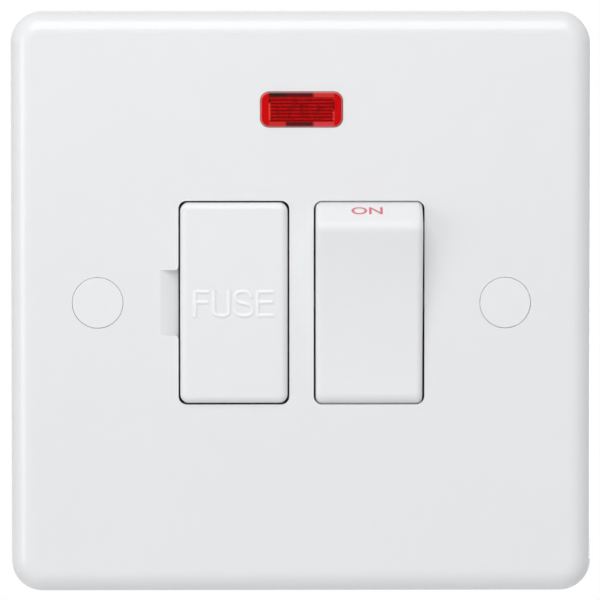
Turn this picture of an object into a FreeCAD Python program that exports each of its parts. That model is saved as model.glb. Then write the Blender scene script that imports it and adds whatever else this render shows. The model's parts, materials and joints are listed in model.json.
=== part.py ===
import FreeCAD, Part
import math
import os

V = FreeCAD.Vector
U_AXIS = V(1, 0, 0)
V_AXIS = V(0, 1, 0)
W_AXIS = V(0, 0, 1)

# The pieces are drawn face up: u to the right, v up the wall, w out of the wall, w = 0 at the wall.

# Front plate
plate_side = 86.0
plate_thick = 9.5
plate_corner_r = 4.6
plate_roll_r = 3.1
plate_rim_wall = 2.3
plate_skin = 3.0
under_w = plate_thick - plate_skin
plate_rib_in = 8.0
plate_rib_out = 19.0

# Gaps: between moving pieces, for sliding pins in their bores, between seated pieces
run_gap = 0.3
carrier_gap = 0.25
pin_gap = 0.05
seat_gap = 0.05

# Fuse cartridge and the end walls that hold it in its carrier
fuse_w = 0.0
fuse_r = 3.175
fuse_long = 25.4
fuse_tube_r = 2.85
fuse_cap_long = 5.6
fuse_cap_wall = 0.3
fuse_end_gap = 0.15
carrier_end_wall = 2.0
end_wall_in = fuse_long / 2 + fuse_end_gap

# Fuse and rocker openings
open_wide = 16.4
open_tall = 2 * (end_wall_in + carrier_end_wall + carrier_gap)
open_corner_r = 1.2
bay_u = 10.0

# Fixing holes and their caps
fixing_u = 30.15
fixing_r = 1.95
fixing_wall = 3.5
fixing_head_r = 3.55
fixing_boss_r = 5.4
cap_r = 3.75
cap_thick = 1.2
cap_recess = 0.03
cap_stub_low_w = plate_thick - 3.6
cap_stub_wall = 0.9

# Finger notch beside the fuse carrier
notch_wide = 2.65
notch_tall = 9.7
notch_deep = 2.2
notch_flare_r = 0.6

# Rocker and its pivot
pivot_w = 3.0
rocker_arc_r = math.hypot(open_tall / 2, plate_thick - pivot_w) - run_gap
rocker_half = open_wide / 2 - run_gap
crest_high = 4.6
crest_low = 0.6
face_sag = 1.0
crest_r = 1.7
rocker_side_r = 0.9
rocker_wall = 1.7
rocker_foot_w = -3.2
rocker_foot_half = 5.0
skirt_angle = 6.0
trunnion_r = 1.6
trunnion_long = 1.3
rocker_rib_half = 9.0
barrel_r = 2.55
barrel_low = -5.0
barrel_bore_top = 4.6
plunger_r = 1.64
plunger_tip = -8.5
plunger_top = -1.2
plunger_neck_r = 0.8
spring_r = 1.1
spring_wire_r = 0.2
spring_turns = 6

# Tilt of the rocker either side of its middle position
angle_on = math.degrees(math.asin((plate_thick - pivot_w + crest_high) / rocker_arc_r))
angle_off = math.degrees(math.asin((plate_thick - pivot_w + crest_low) / rocker_arc_r))
rocker_tilt = (angle_on - angle_off) / 2
crest_angle = (angle_on + angle_off) / 2
rocker_face_w = rocker_arc_r * math.sin(math.radians(crest_angle)) - face_sag

# See-saw contacts
pole_pitch = 7.6
seesaw_top = pivot_w + plunger_tip - run_gap
seesaw_thick = 1.0
seesaw_half = 10.0
seesaw_wide = 4.4
seesaw_tilt = 7.0
hinge_w = seesaw_top - 1.5
hinge_r = 0.9
hinge_gap = 0.06
tip_r = 1.6
tip_thick = 0.8
tip_inset = 1.2
tip_v = seesaw_half - tip_inset
fixed_tip_top = -9.2
strip_top = -10.0
strip_thick = 1.0
cradle_half = 2.2
cradle_top = -7.5
cradle_wide = 4.0
fulcrum_strap_top = -9.5
fulcrum_strap_thick = 0.6

# Fuse clips and carrier
metal_t = 0.6
clip_v = (fuse_long - fuse_cap_long) / 2
clip_wide = 4.4
clip_rise = 2.0
clip_lip = 1.3
clip_base_half = 2.5
clip_base_top = fuse_w - fuse_r - run_gap
base_w = clip_base_top - metal_t
riser_v = -clip_v + clip_wide / 2 + 0.1
link_wide = 3.6
link_v1 = clip_v - clip_wide / 2 - 0.9
link_v0 = link_v1 - link_wide
clip_strap_long = 5.5
carrier_proud = 0.8
carrier_edge_r = 1.05
carrier_corner_r = 1.3
carrier_front = 2.0
carrier_wall = 1.6
carrier_low = 1.0
leg_inset = 0.7
saddle_half_u = 5.2
saddle_gap = 0.2
saddle_half_v = fuse_long / 2 - fuse_cap_long - saddle_gap
saddle_low = -1.2
end_wall_low = -2.0
leg_in = 4.6
leg_foot_gap = 1.5
leg_low = strip_top - strip_thick + leg_foot_gap
hook_high = 1.2
hook_bite = 0.45
hook_out = open_tall / 2 + hook_bite

# Bays for the carrier and the rocker
bay_gap = 0.35
bay_side_gap = 0.1
bay_end_wall = 2.6
bay_floor = strip_top - strip_thick
divider_half = bay_u - open_wide / 2 - bay_side_gap
rocker_bay_half = rocker_arc_r + 0.86
seesaw_bay_half = seesaw_half + 2.6

# Terminals
block_deep = 8.0
block_low = base_w - block_deep
block_near = hook_out + bay_gap + bay_end_wall
block_long = 9.0
block_wide = 7.6
earth_wide = 16.4
wire_r = 1.8
wire_w = base_w - 3.9
window_lip = 0.6
screw_r = 1.5
screw_head_r = 2.4
screw_head_high = 1.8
screw_head_drop = 0.45
screw_access_r = 2.8

# Neon lamp and lens
lens_wide = 12.2
lens_tall = 5.25
lens_corner_r = 1.4
lens_rise = 13.5
lens_v = open_tall / 2 + lens_rise
lens_flange = 0.9
lens_flange_thick = 1.2
lens_wall = 1.1
lens_proud = 0.25
lens_ribs = 8
lens_rib_high = 0.2
lamp_r = 2.0
lamp_half = 5.0
lamp_w = 3.0
lamp_wall = 0.35
electrode_r = 0.3
electrode_half_pitch = 0.75
lead_r = 0.35
lead_start = lamp_half + 0.6
lead_bend = lead_start + 1.0
neon_half_u = lens_wide / 2 + lens_flange + 0.8
neon_half_v = 3.7
neon_low_w = -1.5
resistor_r = 1.1
resistor_long = 4.2
resistor_u = 7.2
resistor_w = 1.0
lead_end_v = block_near + 1.0
resistor_v = lead_end_v + 0.9

# Rear housing
house_side_wall = 2.1
house_half_u = bay_u + open_wide / 2 + bay_side_gap + house_side_wall
house_top = lens_v + neon_half_v + 1.1
house_low = -(block_near + block_long + 2.9)
house_back = -15.5
house_corner_r = 3.0
lug_u = house_half_u + 3.2
lug_v = 22.0
lug_r = 3.6
lug_thick = 4.0
lug_screw_r = 1.45
lug_head_r = 2.6
lug_head_high = 2.0
lug_boss_r = 2.9
lug_screw_reach = 4.6
rib_thick = 1.0
core_pitch_u = 11.0
core_pitch_v = 8.5
core_mid_u = -0.9
core_mid_v = -0.65
core_floor = 1.8

pole_line = bay_u - pole_pitch / 2
pole_neutral = bay_u + pole_pitch / 2
load_line_u = -bay_u
load_neutral_u = pole_neutral
supply_pitch = 9.6
supply_line_u = bay_u - supply_pitch / 2
supply_neutral_u = bay_u + supply_pitch / 2
earth_u = 1.0 + earth_wide / 2 - house_half_u
earth_pitch = 8.2


def box(u0, u1, v0, v1, w0, w1):
    return Part.makeBox(u1 - u0, v1 - v0, w1 - w0, V(u0, v0, w0))


def rod(r, start, end):
    a = V(*start)
    b = V(*end)
    return Part.makeCylinder(r, (b - a).Length, a, b - a)


def rounded(u0, u1, v0, v1, w0, w1, r):
    solid = box(u0, u1, v0, v1, w0, w1)
    return solid.makeFillet(r, upright_edges(solid))


def upright_edges(solid):
    found = []
    for edge in solid.Edges:
        lean = edge.tangentAt(edge.FirstParameter)
        if abs(lean.z) > 0.999 and len(edge.Vertexes) == 2:
            found.append(edge)
    return found


def edges_at(solid, w):
    found = []
    for edge in solid.Edges:
        b = edge.BoundBox
        if abs(b.ZMin - w) < 0.001 and abs(b.ZMax - w) < 0.001:
            found.append(edge)
    return found


# Arcs that lie in a plane across u
def arc_edges(solid):
    found = []
    for edge in solid.Edges:
        if edge.BoundBox.XLength < 0.01 and edge.Curve.TypeId == "Part::GeomCircle":
            found.append(edge)
    return found


def side_profile(points, u0, u1):
    wire = Part.makePolygon([V(u0, v, w) for v, w in points + points[:1]])
    return Part.Face(wire).extrude(V(u1 - u0, 0, 0))


def export(shape, name):
    placed = shape.copy()
    placed.rotate(V(0, 0, 0), U_AXIS, 90)
    placed.exportStep("parts/" + name + ".step")


# Front plate: a shallow moulded tray with rolled edges and corners
def plate_shell():
    half = plate_side / 2
    outer = rounded(-half, half, -half, half, 0, plate_thick, plate_corner_r)
    outer = outer.makeFillet(plate_roll_r, edges_at(outer, plate_thick))
    inner = half - plate_rim_wall
    inner_r = plate_corner_r - plate_rim_wall
    hollow = rounded(-inner, inner, -inner, inner, -1, under_w, inner_r)
    hollow = hollow.makeFillet(1.5, edges_at(hollow, under_w))
    return outer.cut(hollow)


# The rocker opening is an arc about the pivot with corners that follow the rocker's own, so that the gap
# stays even as the rocker turns
def rocker_opening():
    u0 = bay_u - open_wide / 2
    u1 = bay_u + open_wide / 2
    drum = rod(rocker_arc_r + run_gap, (u0, 0, pivot_w), (u1, 0, pivot_w))
    reach = rocker_arc_r + 1
    opening = drum.common(box(u0, u1, -reach, reach, under_w - 1, plate_thick + 1))
    return opening.makeFillet(rocker_side_r + run_gap, arc_edges(opening))


# Finger notch: a ramp that steepens toward the carrier, flared where it meets the opening
def finger_notch():
    wall_u = -bay_u - open_wide / 2
    start_u = wall_u - notch_wide
    low_w = plate_thick - notch_deep
    start = V(start_u, 0, plate_thick)
    middle = V(start_u + notch_wide * 0.6, 0, plate_thick - notch_deep * 0.35)
    end = V(wall_u + 0.4, 0, low_w)
    curve = Part.Arc(start, middle, end).toShape()
    top = Part.makePolygon([end, V(wall_u + 0.4, 0, plate_thick + 1), V(start_u, 0, plate_thick + 1), start])
    face = Part.Face(Part.Wire([curve] + top.Edges))
    reach = notch_tall / 2 + notch_flare_r
    face.translate(V(0, -reach, 0))
    scoop = face.extrude(V(0, 2 * reach, 0))
    outline = box(start_u - 1, wall_u + 1, -notch_tall / 2, notch_tall / 2, low_w - 1, plate_thick + 2)
    for side in (-1, 1):
        v0 = min(side * notch_tall / 2, side * reach)
        flare = box(wall_u - notch_flare_r, wall_u + 1, v0, v0 + notch_flare_r, low_w - 1, plate_thick + 2)
        centre = (wall_u - notch_flare_r, side * reach)
        corner = rod(notch_flare_r, (*centre, low_w - 1), (*centre, plate_thick + 2))
        outline = outline.fuse(flare.cut(corner))
    return scoop.common(outline)


# Fixing boss: clearance hole at the wall, a countersink for the head and a seat for the cap
def fixing_hole(u):
    hole = rod(fixing_r, (u, 0, -1), (u, 0, fixing_wall + 0.1))
    sink_high = fixing_head_r - fixing_r
    sink = Part.makeCone(fixing_r, fixing_head_r, sink_high, V(u, 0, fixing_wall))
    bore = rod(fixing_head_r, (u, 0, fixing_wall + sink_high), (u, 0, plate_thick + 1))
    seat_w = plate_thick - cap_recess - cap_thick - run_gap
    seat = rod(cap_r + pin_gap, (u, 0, seat_w), (u, 0, plate_thick + 1))
    return hole.fuse(sink).fuse(bore).fuse(seat)


# Stiffening ribs run across the tray and stop short of the housing
def plate_ribs():
    rim = plate_side / 2 - plate_rim_wall + 0.2
    half = rib_thick / 2
    high = under_w + 0.2
    ribs = [box(-rim, rim, -half, half, 2.0, high)]
    for v in (-lug_v, lug_v):
        ribs.append(box(-rim, rim, v - half, v + half, 2.5, high))
    for v in (-lug_v / 2, lug_v / 2):
        ribs.append(box(-rim, rim, v - half, v + half, 4.6, high))
    for u in (-plate_rib_out, -plate_rib_in, plate_rib_in, plate_rib_out):
        ribs.append(box(u - half, u + half, -rim, rim, 4.6, high))
    clear_u = house_half_u + 1.0
    room = box(-clear_u, clear_u, house_low - 1.0, house_top + 1.0, -1, high + 1)
    return [rib.cut(room) for rib in ribs]


def front_plate():
    plate = plate_shell()
    additions = plate_ribs()
    for su in (-1, 1):
        additions.append(rod(fixing_boss_r, (su * fixing_u, 0, 0), (su * fixing_u, 0, under_w + 0.2)))
        for sv in (-1, 1):
            foot = (su * lug_u, sv * lug_v)
            additions.append(rod(lug_boss_r, (*foot, 0), (*foot, under_w + 0.2)))
    for u in (divider_half - trunnion_long / 2, 2 * bay_u - divider_half + trunnion_long / 2):
        tab_low = pivot_w + trunnion_r + run_gap
        additions.append(box(u - 0.35, u + 0.35, -1.2, 1.2, tab_low, under_w + 0.2))
    plate = plate.multiFuse(additions)
    cuts = [rocker_opening(), finger_notch(), fixing_hole(fixing_u), fixing_hole(-fixing_u)]
    low = under_w - 1
    high = plate_thick + 1
    half_u = open_wide / 2
    half_v = open_tall / 2
    cuts.append(rounded(-bay_u - half_u, -bay_u + half_u, -half_v, half_v, low, high, open_corner_r))
    half_u = lens_wide / 2 + seat_gap
    half_v = lens_tall / 2 + seat_gap
    cuts.append(rounded(-half_u, half_u, lens_v - half_v, lens_v + half_v, low, high, lens_corner_r))
    for su in (-1, 1):
        for sv in (-1, 1):
            foot = (su * lug_u, sv * lug_v)
            cuts.append(rod(lug_screw_r + pin_gap, (*foot, -1), (*foot, lug_screw_reach + 0.6)))
    return plate.cut(cuts[0]).cut(Part.makeCompound(cuts[1:])).removeSplitter()


# Rear housing: an open-fronted box with a bay for each mechanism and a pocket for each terminal
def housing_body():
    body = rounded(-house_half_u, house_half_u, house_low, house_top, house_back, under_w, house_corner_r)
    body = body.makeFillet(1.2, edges_at(body, house_back))
    for su in (-1, 1):
        for sv in (-1, 1):
            v = sv * lug_v
            lug = rod(lug_r, (su * lug_u, v, -lug_thick), (su * lug_u, v, 0))
            u0 = min(su * (house_half_u - 1), su * lug_u)
            web = box(u0, u0 + lug_u - house_half_u + 1, v - lug_r, v + lug_r, -lug_thick, 0)
            body = body.multiFuse([lug, web])
    return body


def fuse_bay():
    u0 = divider_half - 2 * bay_u
    tall = hook_out + bay_gap
    return box(u0, -divider_half, -tall, tall, bay_floor, under_w + 1)


def rocker_bays():
    left = divider_half
    right = 2 * bay_u - divider_half
    long = seesaw_bay_half
    ledge = rocker_foot_w - 0.8
    upper = box(left, right, -rocker_bay_half, rocker_bay_half, ledge, under_w + 1)
    rear = bay_u - pole_pitch / 2 - seesaw_wide / 2 - 0.8
    step_v = cradle_half + 0.6
    lower_top = box(rear, 2 * bay_u - rear, step_v, long, bay_floor, ledge + 0.1)
    fulcrum_floor = fulcrum_strap_top - fulcrum_strap_thick
    lower_low = box(rear, 2 * bay_u - rear, -long, step_v + 0.1, fulcrum_floor, ledge + 0.1)
    barrier = box(bay_u - 0.5, bay_u + 0.5, -long - 0.4, long + 0.4, bay_floor - 1, hinge_w + 0.8)
    return upper.fuse(lower_top.fuse(lower_low).cut(barrier))


def bearing_slots():
    slots = []
    r = trunnion_r + pin_gap
    left_u = divider_half - trunnion_long
    right_u = 2 * bay_u - divider_half - 0.1
    for u0 in (left_u, right_u):
        u1 = u0 + trunnion_long + 0.1
        slots.append(rod(r, (u0, 0, pivot_w), (u1, 0, pivot_w)))
        slots.append(box(u0, u1, -r, r, pivot_w, under_w + 1))
    return slots


# Terminal pocket: the block drops in from the front, its wire side shows in a window in the end wall,
# whose narrow lip holds it, and its screws are reached from the back
def terminal_pocket(u, side, wide, wires):
    v0 = min(side * block_near, side * (block_near + block_long))
    g = seat_gap
    cuts = [box(u - wide / 2 - g, u + wide / 2 + g, v0 - g, v0 + block_long + g, block_low, under_w + 1)]
    outer_v = house_top + 1 if side > 0 else house_low - 1
    face_v = side * (block_near + block_long - 1)
    half = wide / 2 - window_lip
    low_v, high_v = min(face_v, outer_v), max(face_v, outer_v)
    cuts.append(box(u - half, u + half, low_v, high_v, block_low + window_lip, base_w - window_lip))
    middle = v0 + block_long / 2
    for wire_u in wires:
        cuts.append(rod(screw_access_r, (wire_u, middle, house_back - 2), (wire_u, middle, block_low + 0.1)))
    return cuts


def strap_slots():
    half = cradle_wide / 2 + 0.1
    low = fulcrum_strap_top - fulcrum_strap_thick
    inner = seesaw_bay_half - 0.1
    outer = block_near + 0.1
    cuts = []
    for u in (pole_line, pole_neutral):
        cuts.append(box(u - half, u + half, -outer, -inner, low, under_w + 1))
    cuts.append(box(pole_neutral - half, pole_neutral + half, inner, outer, bay_floor, under_w + 1))
    cuts.append(box(-divider_half - 0.1, pole_line, link_v0 - 0.1, link_v1 + 0.1, bay_floor, under_w + 1))
    strap = clip_base_half + 0.1
    cuts.append(box(-bay_u - strap, -bay_u + strap, hook_out, outer, base_w, under_w + 1))
    return cuts


def neon_pocket():
    high = under_w + 1
    low_v = lens_v - neon_half_v
    high_v = lens_v + neon_half_v
    side = resistor_r + 0.5
    block_u = load_neutral_u - block_wide / 2
    cuts = [
        box(-neon_half_u, neon_half_u, low_v, high_v, neon_low_w, high),
        box(resistor_u - side, resistor_u + side, lead_end_v - 0.7, low_v + 0.3, neon_low_w, high),
        box(resistor_u + side - 0.1, block_u, lead_end_v - 0.6, lead_end_v + 0.6, neon_low_w, high),
    ]
    pocket = cuts[0].multiFuse(cuts[1:])
    rest = rod(lamp_r + pin_gap, (-neon_half_u, lens_v, lamp_w), (neon_half_u, lens_v, lamp_w))
    for u in (1.8 - lamp_half, lamp_half - 2.8):
        rib = box(u - 0.6, u + 0.6, low_v, high_v, neon_low_w - 1, lamp_w)
        lead_gap = box(u - 1, u + 1, low_v, lens_v - lamp_r - 0.2, lamp_w - 1.5, lamp_w + 1)
        pocket = pocket.cut(rib.cut(rest).cut(lead_gap))
    return pocket


# The back is cored out between the ribs so that the moulding has even walls
def rear_cores():
    cells = []
    wide = core_pitch_u - rib_thick
    tall = core_pitch_v - rib_thick
    ceiling = bay_floor - core_floor
    for i in (-1, 0, 1):
        for j in (-1, 0, 1):
            u0 = core_mid_u + i * core_pitch_u - wide / 2
            v0 = core_mid_v + j * core_pitch_v - tall / 2
            cells.append(rounded(u0, u0 + wide, v0, v0 + tall, house_back - 1, ceiling, 1.0))
    return cells


def rear_housing():
    body = housing_body()
    pedestal_half = clip_base_half - 0.1
    bay = fuse_bay()
    for v in (-clip_v, clip_v):
        v0 = v - clip_wide / 2
        v1 = v + clip_wide / 2
        bay = bay.cut(box(-bay_u - pedestal_half, -bay_u + pedestal_half, v0, v1, bay_floor - 1, base_w))
    cuts = [bay, rocker_bays(), neon_pocket()] + bearing_slots() + strap_slots() + rear_cores()
    cuts += terminal_pocket(load_line_u, 1, block_wide, [load_line_u])
    cuts += terminal_pocket(load_neutral_u, 1, block_wide, [load_neutral_u])
    cuts += terminal_pocket(supply_line_u, -1, block_wide, [supply_line_u])
    cuts += terminal_pocket(supply_neutral_u, -1, block_wide, [supply_neutral_u])
    cuts += terminal_pocket(earth_u, -1, earth_wide, [earth_u - earth_pitch / 2, earth_u + earth_pitch / 2])
    for su in (-1, 1):
        for sv in (-1, 1):
            foot = (su * lug_u, sv * lug_v)
            cuts.append(rod(lug_screw_r + pin_gap, (*foot, -lug_thick - 1), (*foot, 1)))
            cuts.append(rod(lug_boss_r + 0.15, (*foot, 0), (*foot, under_w + 1)))
    for cut in cuts:
        body = body.cut(cut)
    return body.removeSplitter()


def housing_screws():
    screws = []
    for su in (-1, 1):
        for sv in (-1, 1):
            foot = (su * lug_u, sv * lug_v)
            head = rod(lug_head_r, (*foot, -lug_thick - lug_head_high), (*foot, -lug_thick))
            head = head.makeFillet(0.7, edges_at(head, -lug_thick - lug_head_high))
            screws.append(head.fuse(rod(lug_screw_r, (*foot, -lug_thick), (*foot, lug_screw_reach))))
    return Part.makeCompound(screws)


# Rocker, drawn at its middle position with the pivot at the origin of the profile.
# Its ends are arcs about the pivot, its face is hollow, and each crest is an arc that touches both.
def rocker_profile():
    end_r = rocker_arc_r
    crest_v = rocker_arc_r * math.cos(math.radians(crest_angle))
    crest_w = rocker_arc_r * math.sin(math.radians(crest_angle))
    hollow_r = (crest_v**2 + face_sag**2) / (2 * face_sag)
    hollow_w = crest_w - face_sag + hollow_r
    near = end_r - crest_r
    far = hollow_r + crest_r
    w = (near**2 - far**2 + hollow_w**2) / (2 * hollow_w)
    centre = V(0, math.sqrt(near**2 - w**2), w)
    toward_face = (V(0, 0, hollow_w) - centre).normalize()
    outward = V(centre).normalize()
    upper = centre + outward * crest_r
    inner = centre + toward_face * crest_r
    middle = centre + (toward_face + outward).normalize() * crest_r
    low = V(0, end_r * math.cos(math.radians(skirt_angle)), -end_r * math.sin(math.radians(skirt_angle)))
    half_way = (low + upper).normalize() * end_r
    edges = []
    for side in (1, -1):
        turn = [V(0, side * p.y, p.z) for p in (low, half_way, upper, middle, inner)]
        edges.append(Part.Arc(*turn[:3]).toShape())
        edges.append(Part.Arc(*turn[2:]).toShape())
    face_low = V(0, 0, rocker_face_w)
    edges.append(Part.Arc(inner, face_low, V(0, -inner.y, inner.z)).toShape())
    foot = rocker_foot_half
    ground = [V(0, -low.y, low.z), V(0, -foot, rocker_foot_w), V(0, foot, rocker_foot_w), low]
    edges += Part.makePolygon(ground).Edges
    return Part.Face(Part.Wire(Part.__sortEdges__(edges)))


def rocker_solid():
    outer = rocker_profile().extrude(V(2 * rocker_half, 0, 0))
    outer.translate(V(-rocker_half, 0, 0))
    return outer.makeFillet(rocker_side_r, arc_edges(outer))


def to_pole(shape, u):
    moved = shape.copy()
    moved.translate(V(u, 0, pivot_w))
    moved.rotate(V(bay_u, 0, pivot_w), U_AXIS, rocker_tilt)
    return moved


def switch_rocker():
    body = rocker_solid()
    inner_half = rocker_half - rocker_wall
    inner_r = rocker_arc_r - rocker_wall
    ceiling = rocker_face_w - rocker_wall
    drum = rod(inner_r, (-inner_half, 0, 0), (inner_half, 0, 0))
    body = body.cut(drum.common(box(-rocker_half, rocker_half, -inner_r, inner_r, -inner_r, ceiling)))
    adds = []
    cuts = []
    for side in (-1, 1):
        u = side * pole_pitch / 2
        adds.append(rod(barrel_r, (u, 0, barrel_low), (u, 0, ceiling + 0.5)))
        cuts.append(rod(plunger_r + hinge_gap, (u, 0, barrel_low - 1), (u, 0, barrel_bore_top)))
        root = side * (rocker_half - 0.2)
        adds.append(rod(trunnion_r, (root, 0, 0), (root + side * trunnion_long, 0, 0)))
    adds.append(box(-0.6, 0.6, -rocker_rib_half, rocker_rib_half, 1.5, ceiling + 0.5))
    body = body.multiFuse(adds)
    for cut in cuts:
        body = body.cut(cut)
    return to_pole(body.removeSplitter(), bay_u)


def plunger(pole_u):
    tip_centre = plunger_tip + plunger_r
    body = rod(plunger_r, (0, 0, tip_centre), (0, 0, plunger_top))
    nose = Part.makeSphere(plunger_r, V(0, 0, tip_centre))
    peg = rod(plunger_neck_r, (0, 0, plunger_top - 0.2), (0, 0, plunger_top + 1.4))
    return to_pole(body.fuse(nose).fuse(peg).removeSplitter(), pole_u)


def plunger_spring(pole_u):
    low = plunger_top + spring_wire_r
    high = barrel_bore_top - spring_wire_r
    helix = Part.makeHelix((high - low) / spring_turns, high - low, spring_r)
    ring = Part.Wire([Part.makeCircle(spring_wire_r, V(spring_r, 0, 0), V_AXIS)])
    coil = Part.Wire(helix.Edges).makePipeShell([ring], True, True)
    coil.translate(V(0, 0, low))
    return to_pole(coil, pole_u)


# See-saw contact: a strip with a round rib below it that turns in the fulcrum cradle
def to_seesaw(shape, pole_u):
    moved = shape.copy()
    moved.translate(V(pole_u, 0, hinge_w))
    moved.rotate(V(pole_u, 0, hinge_w), U_AXIS, -seesaw_tilt)
    return moved


def moving_contact(pole_u):
    high = seesaw_top - hinge_w
    low = high - seesaw_thick
    strip = rounded(-seesaw_wide / 2, seesaw_wide / 2, -seesaw_half, seesaw_half, low, high, 1.2)
    rib = rod(hinge_r, (-seesaw_wide / 2, 0, 0), (seesaw_wide / 2, 0, 0))
    web = box(-seesaw_wide / 2, seesaw_wide / 2, -0.45, 0.45, 0, low + 0.1)
    return to_seesaw(strip.fuse(rib).fuse(web).removeSplitter(), pole_u)


def moving_tip(pole_u):
    high = seesaw_top - hinge_w - seesaw_thick
    tip = rod(tip_r, (0, tip_v, high - tip_thick), (0, tip_v, high))
    return to_seesaw(tip.makeFillet(0.25, edges_at(tip, high - tip_thick)), pole_u)


def fixed_tips():
    tips = []
    for u in (pole_line, pole_neutral):
        tip = rod(tip_r, (u, tip_v, strip_top), (u, tip_v, fixed_tip_top))
        tips.append(tip.makeFillet(0.25, edges_at(tip, fixed_tip_top)))
    return Part.makeCompound(tips)


def fulcrum(pole_u):
    floor = fulcrum_strap_top - fulcrum_strap_thick
    half = cradle_wide / 2
    cradle = box(pole_u - half, pole_u + half, -cradle_half, cradle_half, floor, cradle_top)
    cradle = cradle.cut(rod(hinge_r + hinge_gap, (pole_u - 3, 0, hinge_w), (pole_u + 3, 0, hinge_w)))
    strap = box(pole_u - half, pole_u + half, -block_near, 0, floor, fulcrum_strap_top)
    return cradle.fuse(strap).removeSplitter()


def fixed_contact_neutral():
    half = cradle_wide / 2
    low = strip_top - strip_thick
    strip = box(pole_neutral - half, pole_neutral + half, tip_v - 2.0, block_near, low, strip_top)
    return strip


# Flat link on the bay floor from the line contact to the lower fuse clip
def line_link():
    half = cradle_wide / 2
    low = strip_top - strip_thick
    drop_half = clip_base_half - 0.1
    pad = box(pole_line - half, pole_line + half, link_v0 + 0.2, tip_v + 2.0, low, strip_top)
    cross = box(-bay_u - drop_half, pole_line, link_v0, link_v1, low, strip_top)
    drop = box(-bay_u - drop_half, -bay_u + drop_half, riser_v, link_v1, low, strip_top)
    return pad.fuse(cross).fuse(drop).removeSplitter()


# Fuse clip: a folded spring fork that opens toward the front
def clip_fork(v):
    gap = fuse_r + run_gap
    outer = gap + metal_t
    top = fuse_w + clip_rise
    lean = 0.75
    points = [
        (-outer, base_w), (outer, base_w), (outer, top), (outer + lean, top + clip_lip),
        (gap + lean, top + clip_lip), (gap, top), (gap, clip_base_top), (-gap, clip_base_top),
        (-gap, top), (-gap - lean, top + clip_lip), (-outer - lean, top + clip_lip), (-outer, top),
    ]
    v0 = v - clip_wide / 2
    wire = Part.makePolygon([V(u - bay_u, v0, w) for u, w in points + points[:1]])
    return Part.Face(wire).extrude(V(0, clip_wide, 0))


def fuse_clip_upper():
    half = clip_base_half
    strap = box(-bay_u - half, -bay_u + half, clip_v, block_near + clip_strap_long, base_w, clip_base_top)
    return clip_fork(clip_v).fuse(strap).removeSplitter()


def fuse_clip_lower():
    half = clip_base_half
    riser_end = riser_v + metal_t
    strap = box(-bay_u - half, -bay_u + half, -clip_v, riser_end, base_w, clip_base_top)
    riser = box(-bay_u - half + 0.1, -bay_u + half - 0.1, riser_v, riser_end, strip_top, clip_base_top)
    return clip_fork(-clip_v).fuse(strap).fuse(riser).removeSplitter()


def terminal_block(u, side, wide, wires):
    v0 = min(side * block_near, side * (block_near + block_long))
    block = box(u - wide / 2, u + wide / 2, v0, v0 + block_long, block_low, base_w)
    block = block.makeChamfer(0.4, block.Edges)
    for wire_u in wires:
        block = block.cut(rod(wire_r, (wire_u, v0 - 1, wire_w), (wire_u, v0 + block_long + 1, wire_w)))
        middle = v0 + block_long / 2
        block = block.cut(rod(screw_r + pin_gap, (wire_u, middle, block_low - 1), (wire_u, middle, wire_w)))
    return block


def terminal_screws():
    places = [(load_line_u, 1), (load_neutral_u, 1), (supply_line_u, -1), (supply_neutral_u, -1)]
    places += [(earth_u - earth_pitch / 2, -1), (earth_u + earth_pitch / 2, -1)]
    screws = []
    for u, side in places:
        v = side * (block_near + block_long / 2)
        head_top = block_low - screw_head_drop
        head = rod(screw_head_r, (u, v, head_top - screw_head_high), (u, v, head_top))
        head = head.makeFillet(0.4, edges_at(head, head_top - screw_head_high))
        shank = rod(screw_r, (u, v, head_top - 0.1), (u, v, wire_w - wire_r - 0.2))
        screws.append(head.fuse(shank))
    return Part.makeCompound(screws)


def cartridge_tube():
    half = fuse_long / 2 - fuse_cap_wall
    return rod(fuse_tube_r, (-bay_u, -half, fuse_w), (-bay_u, half, fuse_w))


def fuse_caps():
    caps = []
    for side in (-1, 1):
        end = side * fuse_long / 2
        inner = end - side * fuse_cap_long
        cap = rod(fuse_r, (-bay_u, inner, fuse_w), (-bay_u, end, fuse_w))
        ends = []
        for edge in cap.Edges:
            b = edge.BoundBox
            if b.YLength < 0.001 and abs(b.YMin - end) < 0.001:
                ends.append(edge)
        cap = cap.makeFillet(0.5, ends)
        bore_end = end - side * fuse_cap_wall
        caps.append(cap.cut(rod(fuse_tube_r, (-bay_u, inner - side, fuse_w), (-bay_u, bore_end, fuse_w))))
    return Part.makeCompound(caps)


# Fuse carrier: a capped drawer with a saddle for the fuse and four hooked legs that keep it captive
def carrier_legs():
    leg_out = open_wide / 2 - carrier_gap - leg_inset
    half_v = open_tall / 2 - carrier_gap
    legs = []
    for sv in (-1, 1):
        inner = sv * end_wall_in
        outer = sv * half_v
        v0, v1 = min(inner, outer), max(inner, outer)
        legs.append(box(-bay_u - leg_out, -bay_u + leg_out, v0, v1, end_wall_low, plate_thick - 1))
        hook = [(inner, leg_low), (sv * (hook_out - 0.7), leg_low), (sv * hook_out, leg_low + 0.7)]
        hook += [(sv * hook_out, leg_low + hook_high), (outer, leg_low + hook_high), (outer, 0), (inner, 0)]
        legs.append(side_profile(hook, -bay_u - leg_out, -bay_u - leg_in))
        legs.append(side_profile(hook, -bay_u + leg_in, -bay_u + leg_out))
    return legs


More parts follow.
